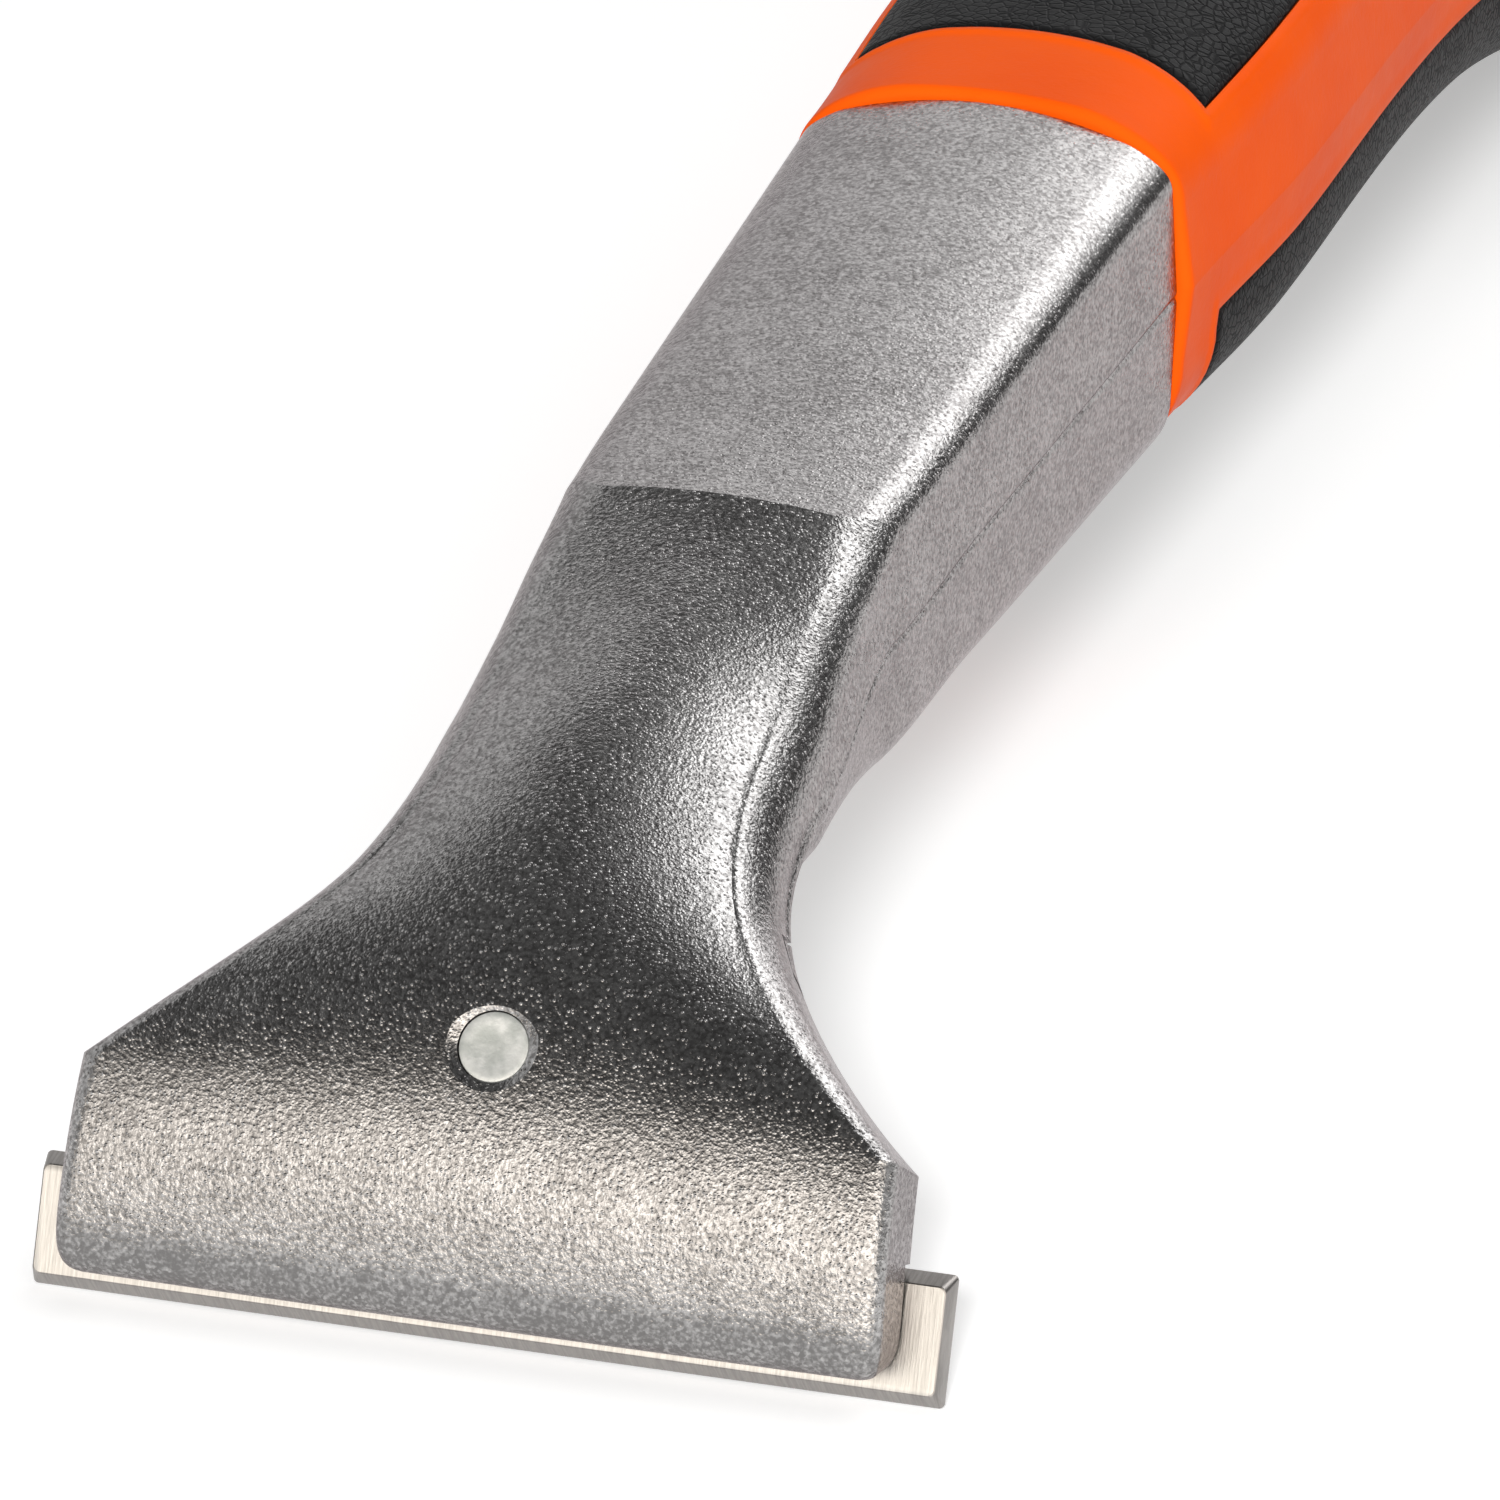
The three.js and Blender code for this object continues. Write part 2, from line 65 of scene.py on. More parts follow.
def ease(value, start, end):
    """Smooth step: 0 up to start, 1 from end, with level ends in between (3s^2 - 2s^3)."""
    share = passed(value, start, end)
    return share * share * (3 - 2 * share)


def bezier(points, share):
    """Bezier curve at an array of shares: neighbouring points are mixed until one is left."""
    share = np.asarray(share, float)[..., None]
    while len(points) > 1:
        points = [mix(near, far, share) for near, far in zip(points, points[1:])]
    return points[0]


def on_blade(up, out):
    """Point of the side view from its distances up the blade and out of its back."""
    return blade_up * up + blade_out * out


crest = np.array([39.0, 32.4])
crest_half = 9.3
crest_slope = math.radians(11)
crest_reach = 25.0
neck_bottom = 16.0
neck_arch = 1.0
neck_length = 47.0
neck_rise = 3.8
collar_half = 10.6
shoulder_up = 13.0
shoulder_half = 22.3
nose_up = 4.4
nose_half = 22.6
nose_slope = blade_lean + math.radians(9)
nose_reach = 17.0
undercut = 3.6
nose_corner = on_blade(nose_up, 6.22)
jaw_foot = on_blade(nose_up, -5.8)
crest_heading = -np.array([math.cos(crest_slope), math.sin(crest_slope)])
nose_heading = np.array([math.cos(nose_slope), math.sin(nose_slope)])
top_line = [crest, crest + crest_reach * crest_heading, nose_corner + nose_reach * nose_heading, nose_corner]
belly_start = np.array([crest[0], neck_bottom + neck_arch])
belly_pull = np.array([mix(crest[0], jaw_foot[0], 0.8), neck_bottom + neck_arch + 3.3])
jaw_pull = jaw_foot + 12 * blade_up
bottom_line = [belly_start, belly_pull, jaw_pull, jaw_foot]

line_shares = np.linspace(0, 1, 2001)
line_points = bezier(top_line, line_shares)
line_lengths = np.append(0, np.cumsum(np.linalg.norm(np.diff(line_points, axis=0), axis=1)))


def share_at(up):
    """Share of the top line at which it has come down to a distance up the blade."""
    return np.interp(-up, -(line_points @ blade_up), line_shares)


shoulder_share = share_at(shoulder_up)
shoulder_length = np.interp(shoulder_share, line_shares, line_lengths)

top_end, corner_end, wall_end, low_end = 0.25, 0.5, 0.75, 0.9
seam_width = 0.16
valley_width = 0.32


def section(turn, tall, half, low_half, crown, top_round, top_drop, low_round, draft, seam=0.0, valley=0.0,
            valley_in=2.0):
    """Half outline of a moulding: x and the depth below its top, for turn 0 (top middle) to 1 (bottom
    middle). The top is a parabola, the corner a quarter ellipse that leaves it without a kink, the wall
    leans out to the parting line and back in, with a fine seam there, and the lower corner is a quarter
    circle. A shallow valley may run a little way in from the edge."""
    flat = half - top_round
    flat_depth = crown * (flat / half) ** 2
    wall_top = flat_depth + top_drop
    wall_foot = tall - low_round
    corner = passed(turn, top_end, corner_end) * math.pi / 2
    wall = passed(turn, corner_end, wall_end)
    low_corner = passed(turn, wall_end, low_end) * math.pi / 2
    top_x = flat * passed(turn, 0, top_end)
    corner_x = flat + top_round * np.sin(corner)
    lean = 2 * crown * flat / half**2 * top_round * np.sin(corner) * np.cos(corner) ** 2
    wall_x = half + np.where(wall < 0.5, 2 * wall * draft, draft + (2 * wall - 1) * (low_half - half - draft))
    wall_x = wall_x - seam * np.exp(-(((wall - 0.5) * (wall_foot - wall_top) / seam_width) ** 2))
    low_x = low_half - low_round * (1 - np.cos(low_corner))
    bottom_x = (low_half - low_round) * (1 - passed(turn, low_end, 1))
    stretch = [turn < top_end, turn < corner_end, turn < wall_end, turn < low_end]
    x = np.select(stretch, [top_x, corner_x, wall_x, low_x], bottom_x)
    corner_depth = flat_depth + top_drop * (1 - np.cos(corner)) + lean
    low_depth = wall_foot + low_round * np.sin(low_corner)
    depths = [crown * (top_x / half) ** 2, corner_depth, mix(wall_top, wall_foot, wall), low_depth]
    groove = valley * np.exp(-(((half - valley_in - x) / valley_width) ** 2)) * (turn < corner_end)
    return x, np.select(stretch, depths, tall + 0 * turn) + groove


# Around a ring, the points of the wall crowd at its seam.
wall_step = np.linspace(-1, 1, 33)
wall_share = 0.5 + 0.5 * np.sign(wall_step) * np.abs(wall_step) ** 1.7
half_turns = np.concatenate([
    np.linspace(0, top_end, 22, endpoint=False),
    np.linspace(top_end, corner_end, 34, endpoint=False),
    mix(corner_end, wall_end, wall_share[:-1]),
    np.linspace(wall_end, low_end, 12, endpoint=False),
    np.linspace(low_end, 1, 8),
])
ring_turns = np.concatenate([half_turns, half_turns[-2:0:-1]])
ring_sides = np.concatenate([np.ones(len(half_turns)), -np.ones(len(half_turns) - 2)])


def rings_of(top, bottom, half, low_half, crown, top_round, top_drop, low_round, draft, seam=0.0, valley=0.0,
             valley_in=2.0):
    """Grid of points (ring, around, xyz): each ring is a section laid between its top and bottom points."""
    def column(value):
        """A size as a column: one value for all rings, or one for each."""
        return np.broadcast_to(np.asarray(value, float), len(top))[:, None]

    tall = np.linalg.norm(top - bottom, axis=1)[:, None]
    sizes = (half, low_half, crown, top_round, top_drop, low_round, draft, seam, valley, valley_in)
    x, depth = section(ring_turns[None, :] + 0 * tall, tall, *(column(size) for size in sizes))
    side_view = mix(top[:, None, :], bottom[:, None, :], (depth / tall)[..., None])
    return np.concatenate([(x * ring_sides)[..., None], side_view], axis=-1)


def closed_piece(name, points, quads, caps=()):
    """Object of a closed mesh, from points in millimetres. Its faces are turned outwards: they are flipped if
    the volume of the tetrahedra between the quads and the origin comes out negative."""
    first, second, third, fourth = (points[quads[:, i]] for i in range(4))
    volume = np.sum(np.cross(second - first, third - first) * first)
    volume += np.sum(np.cross(third - first, fourth - first) * first)
    mesh = bpy.data.meshes.new(name)
    mesh.from_pydata((points + [0, edge_at, 0]) * 0.001, [], quads.tolist() + list(caps))
    if volume < 0:
        mesh.flip_normals()
    piece = bpy.data.objects.new(name, mesh)
    bpy.context.scene.collection.objects.link(piece)
    return piece


def solid(name, rings, closed=False):
    """Closed piece over a grid of rings: quads between neighbours, and a flat cap at each end unless the last
    ring joins the first."""
    rows, columns = rings.shape[:2]
    corner = np.arange(rows * columns).reshape(rows, columns)
    caps = [corner[0, ::-1].tolist(), corner[-1].tolist()]
    if closed:
        caps = []
        corner = np.concatenate([corner, corner[:1]])
    beside = np.roll(corner, -1, axis=1)
    quads = np.stack([corner[:-1], beside[:-1], beside[1:], corner[1:]], axis=-1).reshape(-1, 4)
    return closed_piece(name, rings.reshape(-1, 3), quads, caps)


def carve(piece, operation, tool):
    """Boolean of a closed piece with a closed tool, which is used up."""
    modifier = piece.modifiers.new("carve", "BOOLEAN")
    modifier.operation = operation
    modifier.solver = "MANIFOLD"
    modifier.object = tool
    graph = bpy.context.evaluated_depsgraph_get()
    piece.data = bpy.data.meshes.new_from_object(piece.evaluated_get(graph))
    piece.modifiers.clear()
    bpy.data.objects.remove(tool)


def prism(outline, half_width):
    """Bar across the tool: an outline of the side view carried along x."""
    outline = np.array(outline)
    across = np.array([-half_width, half_width])
    rings = np.zeros((2, len(outline), 3))
    rings[..., 0] = across[:, None]
    rings[..., 1:] = outline
    return solid("prism", rings)


crest_crown, waist_crown, shoulder_crown, nose_crown = 0.9, 3.2, 0.8, 0.4
crest_edge, shoulder_edge, nose_edge = 2.0, 1.3, 1.0
rolled_round, rolled_drop = 2.4, 4.4
low_rounding = 2.6
wall_draft, seam_depth = 0.3, 0.12
flare_length, flare_power = 30.6, 2.77
dip_depth, dip_length = 0.8, 4.0
valley_depth, valley_inside = 0.16, 0.2


def plate_rings(share):
    """The plate below the crest: it dips at once from the sharp crest, is crowned half way down, with a
    valley inside its rolled edge, and is flat again at the shoulders, where its sides flare out to the width
    of the nose by a power curve."""
    along = np.interp(share, line_shares, line_lengths)
    along_share = along / shoulder_length
    nearness = np.clip(1 - (shoulder_length - along) / flare_length, 0, 1)
    flare = nearness**flare_power
    straight = 1 - flare
    side = crest_half + ease(along_share, 0, 0.42)
    past = passed(share, shoulder_share, 1)
    half = mix(mix(side, shoulder_half, flare), nose_half, past)
    low_half = half - undercut * nearness
    waist_end = 1 - ease(along_share, 0.64, 1)
    bulge = ease(along_share, 0.08, 0.36) * waist_end
    roll = ease(along_share, 0, 0.22) * waist_end
    dip = dip_depth * (1 - np.exp(-along / dip_length)) * (1 - ease(along, 3, shoulder_length))
    top = bezier(top_line, share) - np.stack([0 * dip, dip], axis=-1)
    bottom = bezier(bottom_line, share)
    end_crown = mix(shoulder_crown, nose_crown, past)
    crown = mix(mix(crest_crown, end_crown, ease(along_share, 0.2, 0.9)), waist_crown, bulge)
    edge = mix(mix(crest_edge, shoulder_edge, ease(along_share, 0, 1)), nose_edge, past)
    edge_round = mix(edge, rolled_round, roll)
    edge_drop = mix(edge, rolled_drop, roll)
    valley = valley_depth * ease(along_share, 0.2, 0.4) * (1 - ease(along_share, 0.65, 0.9))
    return rings_of(top, bottom, half, low_half, crown, edge_round, edge_drop, low_rounding,
                    wall_draft * straight, seam_depth * straight, valley, edge_round + valley_inside)


def neck_rings(back):
    """The neck behind the crest: it rises to the collar and grows rounder and wider on the way."""
    share = back / neck_length
    half = mix(crest_half, collar_half, share)
    top = np.stack([crest[0] + back, crest[1] + neck_rise * share], axis=-1)
    bottom = np.stack([crest[0] + back, neck_bottom + neck_arch * (1 - share) ** 6], axis=-1)
    crown = mix(crest_crown, 2.4, share)
    edge = mix(crest_edge, 2.6, share)
    low_round = mix(low_rounding, 4.2, ease(share, 0, 0.35))
    return rings_of(top, bottom, half, half, crown, edge, edge, low_round, wall_draft, seam_depth)


def nose_rings(share):
    """The nose: it rolls under below its corner in a cubic curve, to a level lip that runs back to the blade.
    Its lower corners are rounded off by a quarter ellipse."""
    roll_share = 0.7
    lip_height, lip_back, lip_up = 2.35, 1.8, 1.2
    corner_width = 2.3
    last_rounding = 0.5
    lip_start = np.array([nose_corner[0] + lip_back, lip_height])
    roll_start = nose_corner - 1.9 * nose_heading
    roll_pull = np.array([nose_corner[0] - 0.1 * lip_back, lip_height])
    rolled = np.minimum(1, share / roll_share)
    on_lip = passed(share, roll_share, 1)[:, None]
    roll = bezier([nose_corner, roll_start, roll_pull, lip_start], rolled)
    top = np.where(on_lip > 0, mix(lip_start, on_blade(lip_up, 0.98), on_lip), roll)
    bottom = mix(jaw_foot, on_blade(lip_up, -0.84), share[:, None])
    half = nose_half - corner_width * (1 - np.sqrt(1 - passed(rolled, 0.2, 1) ** 2))
    low_half = nose_half - undercut
    crown = mix(nose_crown, 0, share)
    edge = mix(nose_edge, last_rounding, share)
    low_round = mix(low_rounding, last_rounding, share)
    return rings_of(top, bottom, half, low_half, crown, edge, edge, low_round, 0.0)


collar_at = crest[0] + neck_length
tang_length = 60.0
tang_half_width, tang_half_height, tang_rounding = 6.0, 5.0, 2.0
tang_middle = (crest[1] + neck_rise + neck_bottom) / 2 - 1.3


def tang_rings(back, gap):
    """The tang, or its socket with a gap round it: a plain bar with rounded edges."""
    half = tang_half_width + gap
    top = np.stack([back, tang_middle + tang_half_height + gap + 0 * back], axis=-1)
    bottom = np.stack([back, tang_middle - tang_half_height - gap + 0 * back], axis=-1)
    return rings_of(top, bottom, half, half, 0.0, tang_rounding, tang_rounding, tang_rounding, 0.0)


plate_shares = shoulder_share * (1 - np.linspace(0, 1, 121) ** 1.5)
envelope = np.concatenate([
    nose_rings(np.linspace(1, 0, 30, endpoint=False)),
    plate_rings(np.linspace(1, shoulder_share, 24, endpoint=False)),
    plate_rings(plate_shares),
    neck_rings(np.linspace(0, neck_length, 61)[1:]),
])


def crest_curl(x):
    """How far the crest bends back at its two ends."""
    return 2.0 * ease(np.abs(x), 6.3, 9.6)


near_crest = np.exp(-(((envelope[..., 1] - crest[0]) / 5) ** 2)) * ease(envelope[..., 2], 26, 31)
envelope[..., 1] += near_crest * crest_curl(envelope[..., 0])
tang = tang_rings(np.array([collar_at, collar_at + tang_length]), 0)
head = solid("head", np.concatenate([envelope, tang]))

screw_up = 16.0
screw_front = bezier(top_line, share_at(screw_up))
screw_heading = np.array([-0.809017, 0.587785])
screw_side = np.array([screw_heading[1], -screw_heading[0]])
plate_thickness = 8.2
far_away = 40.0


def underside(up, gap):
    """Point of the plate's underside, or a gap below it, at a distance up the blade."""
    start = screw_front - screw_heading * (plate_thickness + gap)
    return start + screw_side * (up - start @ blade_up) / (screw_side @ blade_up)


def turned(name, radii, forward, columns=72):
    """Solid of revolution on the screw's axis: radii at places forward of the plate's face. A radius may
    also be a whole row of values, one for each angle."""
    angle = np.linspace(0, 2 * math.pi, columns, endpoint=False)
    radii = np.array([np.broadcast_to(radius, columns) for radius in radii])
    forward = np.array(forward, float)[:, None]
    side_view = screw_front + screw_heading * forward[..., None]
    side_view = side_view + screw_side * (radii * np.sin(angle))[..., None]
    return solid(name, np.concatenate([(radii * np.cos(angle))[..., None], side_view], axis=-1))


seat_up, seat_out = 7.3, 1.7
heel_up = 23.0
heel_top = underside(heel_up, 0)
pocket = [on_blade(-far_away, seat_out), on_blade(seat_up, seat_out), underside(seat_up, 0), heel_top,
          heel_top - far_away * screw_heading, on_blade(-far_away, -far_away)]
carve(head, "DIFFERENCE", prism(pocket, nose_half + 1))
bore_radius = 2.3
bore_radii = [bore_radius, bore_radius, 1.94, 1.94, 2.5, 2.5]
bore_places = [-far_away, -1.3, -1.1, -0.36, -0.1, far_away]
carve(head, "DIFFERENCE", turned("bore", bore_radii, bore_places))


class Shade:
    """A socket of a shader. Arithmetic on it adds Math nodes, and node() adds any other node."""

    def __init__(self, tree, socket=None):
        self.tree = tree
        self.socket = socket

    def node(self, kind, settings=(), sockets=(), output=0):
        """Adds a node: its settings are set first, then the values or links of its sockets."""
        made = self.tree.nodes.new("ShaderNode" + kind)
        for name, value in dict(settings).items():
            setattr(made, name, value)
        for name, value in dict(sockets).items():
            if isinstance(value, Shade):
                self.tree.links.new(value.socket, made.inputs[name])
            else:
                made.inputs[name].default_value = value
        return Shade(self.tree, made.outputs[output] if len(made.outputs) else None)

    def also(self, output):
        """Another output of the same node."""
        return Shade(self.tree, self.socket.node.outputs[output])

    def math(self, operation, first, second):
        """Adds a Math node of two values or sockets."""
        return self.node("Math", {"operation": operation}, {0: first, 1: second})

    def __add__(self, other):
        return self.math("ADD", self, other)

    def __sub__(self, other):
        return self.math("SUBTRACT", self, other)

    def __rsub__(self, other):
        return self.math("SUBTRACT", other, self)

    def __mul__(self, other):
        return self.math("MULTIPLY", self, other)

    __radd__ = __add__
    __rmul__ = __mul__

    def smooth(self, start, end):
        """Smooth step of this value from 0 at start to 1 at end."""
        return self.node("MapRange", {"interpolation_type": "SMOOTHSTEP"}, {0: self, 1: start, 2: end})

    def tint(self, low, high):
        """Colour mixed from low to high by this value."""
        mixed = {0: self, 6: (*low, 1), 7: (*high, 1)}
        return self.node("Mix", {"data_type": "RGBA"}, mixed, output=2)


def material_of(name, sockets_of):
    """Material of one Principled shader, whose sockets come from sockets_of(shade, object coordinates)."""
    material = bpy.data.materials.new(name)
    material.use_nodes = True
    material.node_tree.nodes.clear()
    shade = Shade(material.node_tree)
    place = shade.node("TexCoord", output="Object")
    principled = shade.node("BsdfPrincipled", {}, sockets_of(shade, place))
    shade.node("OutputMaterial", {}, {"Surface": principled})
    return material


def grain(shade, place, size, detail=2.0):
    """Noise of a given grain size in millimetres, from 0 to 1."""
    return shade.node("TexNoise", {}, {"Vector": place, "Scale": 1000 / size, "Detail": detail})


def blasted_aluminium(shade, place):
    """Shot-blasted casting: rounded humps of unequal height over a finer grain, fading towards the collar,
    and level trimming lines along the foot of the nose. The foot's colour is also darkened there: painted
    shade for the shadowed floor that it mirrors."""
    back = shade.node("SeparateXYZ", {}, {0: place}, output="Y")
    rough = 1 - 0.7 * back.smooth(-0.072, -0.035)
    foot = (1 - back.also("Z").smooth(0.0045, 0.0065)) * (1 - back.smooth(-0.116, -0.112))
    cell = shade.node("TexVoronoi", {}, {"Vector": place, "Scale": 4600.0})
    chance = shade.node("SeparateColor", {}, {0: cell.also("Color")})
    hump = (1 - (cell * 2.1).smooth(0, 1)) * chance
    level = shade.node("Mapping", {}, {"Vector": place, "Scale": (0.12, 1.0, 1.0)})
    lines = shade.node("TexNoise", {}, {"Vector": level, "Scale": 5000.0, "Detail": 2.0}) * foot
    fine = grain(shade, place, 0.24)
    height = (0.55 * hump * (1 - 0.5 * foot) + 0.6 * fine + 0.5 * lines) * rough
    # Random grain and patches, and 0.15 less at the nose's foot: painted shade for the shadowed floor it
    # mirrors.
    grain_tone_and_foot_shade = 0.9 * fine + 0.25 * chance.also("Green") + 0.25 * grain(shade, place, 5.0) - 0.15 * foot
    return {
        "Base Color": grain_tone_and_foot_shade.smooth(0.4, 1.0).tint((0.2, 0.195, 0.192), (0.52, 0.511, 0.506)),
        "Metallic": 1.0,
        "Specular Tint": (0.66, 0.62, 0.63, 1),
        "Roughness": 0.16 + 0.1 * grain(shade, place, 0.8),
        "Normal": shade.node("Bump", {}, {"Distance": 0.00008, "Height": height}),
    }


aluminium = material_of("blasted_aluminium", blasted_aluminium)


def crease(piece):
    """Marks the edges along the crest as sharp: both ends on its line, and high enough."""
    tolerance, crest_floor = 0.002, 0.031
    places = np.zeros(len(piece.data.vertices) * 3, np.float32)
    piece.data.vertices.foreach_get("co", places)
    ends = np.zeros(len(piece.data.edges) * 2, np.int32)
    piece.data.edges.foreach_get("vertices", ends)
    places = places.reshape(-1, 3)
    crest_back = crest[0] + crest_curl(places[:, 0] * 1000)
    off_line = np.abs(places[:, 1] * 1000 - edge_at - crest_back)
    across = (off_line < tolerance) & (places[:, 2] > crest_floor)
    sharp = piece.data.attributes["sharp_edge"]
    marked = np.zeros(len(piece.data.edges), bool)
    sharp.data.foreach_get("value", marked)
    sharp.data.foreach_set("value", marked | across[ends.reshape(-1, 2)].all(axis=1))


def dress(piece, material, sharp_angle):
    """Gives a finished piece its material, smooth shading, and sharp edges where faces meet at an angle."""
    piece.data.materials.clear()
    piece.data.materials.append(material)
    piece.data.shade_smooth()
    piece.data.set_sharp_from_angle(angle=math.radians(sharp_angle))


dress(head, aluminium, 20)
crease(head)
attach(head, "tool")
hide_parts("head_casting")

# Handle core: hard orange plastic, injection-moulded over the tang. It has a lip at the collar, beds for the
# two soft grips with a fine bead round them, and a hang hole with flat rims through its butt.
handle_front = collar_at + 0.3
handle_length = 152.0
front_middle, butt_middle = 26.1, 14.5
droop_start, droop_end = 27.0, 143.0
# Each row: distance behind the collar, half width, height.
handle_rows = np.array([
    [0, 11.1, 21.2],
    [20, 11.9, 21.8],
    [58, 11, 20],
    [103, 14, 25.5],
    [143, 12.5, 29],
    [152, 12.5, 29],
])


def handle_sizes(back):
    """Half width, height and middle of the handle: rows eased from one to the next, and a middle that
    droops."""
    row = np.clip(np.searchsorted(handle_rows[:, 0], back, side="left") - 1, 0, len(handle_rows) - 2)
    near, far = handle_rows[row], handle_rows[row + 1]
    blend = ease(back, near[..., 0], far[..., 0])
    half = mix(near[..., 1], far[..., 1], blend)
    tall = mix(near[..., 2], far[..., 2], blend)
    return half, tall, mix(front_middle, butt_middle, ease(back, droop_start, droop_end))


def handle_skin(back, turn, side, inset=0.0, shrink=1.0):
    """Points of the handle's skin from the distance behind the collar and the turn round the section, let in
    by an inset all round and then drawn towards the middle."""
    half, tall, middle = handle_sizes(back)
    across = (half - inset) * shrink
    high = (tall / 2 - inset) * shrink
    rounding = 0.62 * np.minimum(across, high)
    crown, draft = 0.14 * across, 0.05 * across
    x, depth = section(turn, 2 * high, across, across, crown, rounding, 0.8 * rounding, rounding, draft)
    return np.stack([x * side, handle_front + back, middle + high - depth], axis=-1)


def turn_at(back, level):
    """Turn at which the handle's section has come down to a share of its height (by halving)."""
    low, high = np.zeros_like(back), np.ones_like(back)
    _, tall, middle = handle_sizes(back)
    for _ in range(30):
        turn = (low + high) / 2
        above = handle_skin(back, turn, 1.0)[..., 2] > middle + level * tall
        low, high = np.where(above, turn, low), np.where(above, high, turn)
    return (low + high) / 2


top_level, low_level = 0.376, -0.14
strip_start, grip_end = 6.0, 121.0
panel_start, panel_half = 7.35, 10.4
front_hollow, rear_bulge = 1.6, 6.0


def front_edge(x):
    """Front edge of the upper grip, a slightly hollow parabola, as a distance behind the collar."""
    return panel_start + front_hollow * (1 - (x / panel_half) ** 2)


def rear_edge(x):
    """Rear edge of the upper grip, a bulging parabola, as a distance behind the collar."""
    return grip_end + rear_bulge * (1 - (x / panel_half) ** 2)


def bed_inset(points, back):
    """Distance inside the nearer grip's outline, to first order: each edge's own function over its slope."""
    _, tall, middle = handle_sizes(back)
    along = np.gradient(points, axis=1)
    step = np.maximum(np.linalg.norm(along, axis=-1), 1e-9)
    rise = np.maximum(np.abs(along[..., 2]) / step, 0.05)
    x, height = points[..., 0], points[..., 2] - middle
    bend = 2 * x / panel_half**2 * np.abs(along[..., 0]) / step
    upper = np.minimum.reduce([
        (height - top_level * tall) / rise,
        (back - front_edge(x)) / np.hypot(1, front_hollow * bend),
        (rear_edge(x) - back) / np.hypot(1, rear_bulge * bend),
    ])
    lower = np.minimum.reduce([(low_level * tall - height) / rise, back - strip_start, grip_end - back])
    return np.maximum(upper, lower)


def outward_of(points):
    """Unit normals of a grid on the handle, away from its middle, from the differences along its two ways."""
    normal = np.cross(np.gradient(points, axis=0), np.gradient(points, axis=1))
    normal /= np.maximum(np.linalg.norm(normal, axis=-1, keepdims=True), 1e-12)
    halfway = len(points) // 2
    middle = points[halfway].mean(axis=0)
    towards = np.sum((points[halfway] - middle) * normal[halfway])
    return normal * np.sign(towards)


lip_round, butt_round = 0.6, 7.0
butt_share = 6.3 / 12.5
fine_length = 50.0
bead_height, bead_width, bead_away = 0.13, 0.34, 0.5
body_length = handle_length - butt_round
body_back = np.concatenate([
    np.linspace(lip_round, fine_length, 190, endpoint=False),
    np.linspace(fine_length, body_length, 190),
])
back, turn = np.meshgrid(body_back, ring_turns, indexing="ij")
skin = handle_skin(back, turn, ring_sides)
wrapped = np.concatenate([skin[:, -1:], skin, skin[:, :1]], axis=1)
bead = bead_height * np.exp(-(((bed_inset(skin, back) + bead_away) / bead_width) ** 2))
skin = skin + outward_of(wrapped)[:, 1:-1] * bead[..., None]
lip_turn = np.linspace(0, math.pi / 2, 9)[:-1]
back, turn = np.meshgrid(lip_round * (1 - np.cos(lip_turn)), ring_turns, indexing="ij")
front = handle_skin(back, turn, ring_sides, (lip_round * (1 - np.sin(lip_turn)))[:, None])
end_turn = np.linspace(0, math.pi / 2, 25)[1:]
back, turn = np.meshgrid(body_length + butt_round * np.sin(end_turn), ring_turns, indexing="ij")
end = handle_skin(back, turn, ring_sides, 0.0, mix(butt_share, 1, np.cos(end_turn) ** 0.8)[:, None])
core = solid("core", np.concatenate([front, skin, end]))


def edge_spread(count):
    """Shares from 0 to 1, crowded at both ends: s - 0.97 sin(2 pi s) / (2 pi)."""
    step = np.linspace(0, 1, count)
    return step - 0.97 * np.sin(2 * math.pi * step) / (2 * math.pi)


length_share, width_share = np.meshgrid(edge_spread(170), edge_spread(110), indexing="ij")


def upper_patch(gap):
    """Grid of skin points over the upper grip, drawn in from its outline by a gap, with distances back. Its
    curved ends depend on x and x on them, so both are found in a few rounds from a first guess."""
    half_girth = 11.0
    across = 2 * width_share - 1
    back = mix(9.0, 127.0, length_share)
    for _ in range(12):
        turn = np.abs(across) * turn_at(back, top_level) * (1 - gap / half_girth)
        x = handle_skin(back, turn, np.sign(across))[..., 0]
        back = mix(front_edge(x) + gap, rear_edge(x) - gap, length_share)
    turn = np.abs(across) * turn_at(back, top_level) * (1 - gap / half_girth)
    return handle_skin(back, turn, np.sign(across)), back


def lower_patch(gap):
    """Grid of skin points over the lower grip, drawn in from its outline by a gap, with distances back."""
    half_girth = 20.0
    across = 2 * width_share - 1
    back = mix(strip_start + gap, grip_end - gap, length_share)
    turn = mix(1.0, turn_at(back, low_level), np.abs(across) * (1 - gap / half_girth))
    return handle_skin(back, turn, np.sign(across)), back


def slab(name, points, face_height, back_height):
    """Closed pad on a grid of skin points: a face and a back at heights over the skin, joined round the
    edge."""
    outward = outward_of(points)
    face = points + outward * np.broadcast_to(face_height, points.shape[:2])[..., None]
    behind = points + outward * np.broadcast_to(back_height, points.shape[:2])[..., None]
    corner = np.arange(points[..., 0].size).reshape(points.shape[:2])
    quads = [corner[:-1, :-1], corner[1:, :-1], corner[1:, 1:], corner[:-1, 1:]]
    quads = np.stack(quads, axis=-1).reshape(-1, 4)
    loop = np.concatenate([corner[:, 0], corner[-1, 1:], corner[-2::-1, -1], corner[0, -2:0:-1]])
    ahead = np.roll(loop, -1)
    size = corner.size
    strip = np.stack([ahead, loop, loop + size, ahead + size], axis=-1)
    faces = np.concatenate([quads, quads[:, ::-1] + size, strip])
    return closed_piece(name, np.concatenate([face.reshape(-1, 3), behind.reshape(-1, 3)]), faces)


